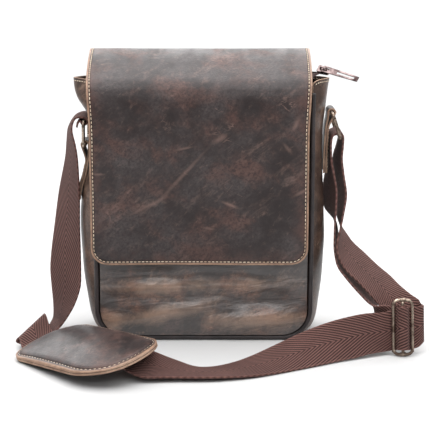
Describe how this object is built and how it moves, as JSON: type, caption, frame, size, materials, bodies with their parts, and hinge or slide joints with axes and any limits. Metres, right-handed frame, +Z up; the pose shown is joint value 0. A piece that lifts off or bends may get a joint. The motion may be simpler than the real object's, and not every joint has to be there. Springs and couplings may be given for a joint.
{
  "type": "crossbody bag",
  "caption": "Upright leather crossbody bag with a long front flap, zipped top, piped seams, side rings and a webbing strap with a slide buckle and a shoulder pad.",
  "frame": {"origin": "on the floor, in the middle of the base between the front and back seams", "axes": "+Z up, -Y the way the flap faces, +X to the side where the zip pull and the buckle are"},
  "size_m": [0.3862, 0.2284, 0.2764],
  "materials": {
    "leather": "waxed, scuffed",
    "piping": "matt",
    "webbing": "herringbone weave",
    "zip_tape": "woven tape",
    "antique_brass": "antique, rubbed",
    "zip_metal": "dark antique plating"
  },
  "bodies": {
    "bag": {"front_panel": "leather", "back_panel": "leather", "gusset": "leather", "front_piping": "piping", "back_piping": "piping", "flap": "leather", "zip_tape_front": "zip_tape", "zip_tape_back": "zip_tape", "zip_chain": "zip_metal", "zip_slider": "zip_metal", "tab_left": "leather", "ring_left": "antique_brass", "tab_right": "leather", "ring_right": "antique_brass", "strap": "webbing", "strap_buckle": "antique_brass", "shoulder_pad": "leather", "pad_base": "leather", "pad_keeper": "leather"},
    "pull": {"zip_pull": "zip_metal"}
  },
  "joints": [
    {"name": "pull_swing", "type": "hinge", "parent": "bag", "child": "pull", "pos_m": [0.11619, -0.00268, 0.25967], "axis": [-0.4457, -0.5305, -0.7211], "range_deg": [0, 120]}
  ]
}
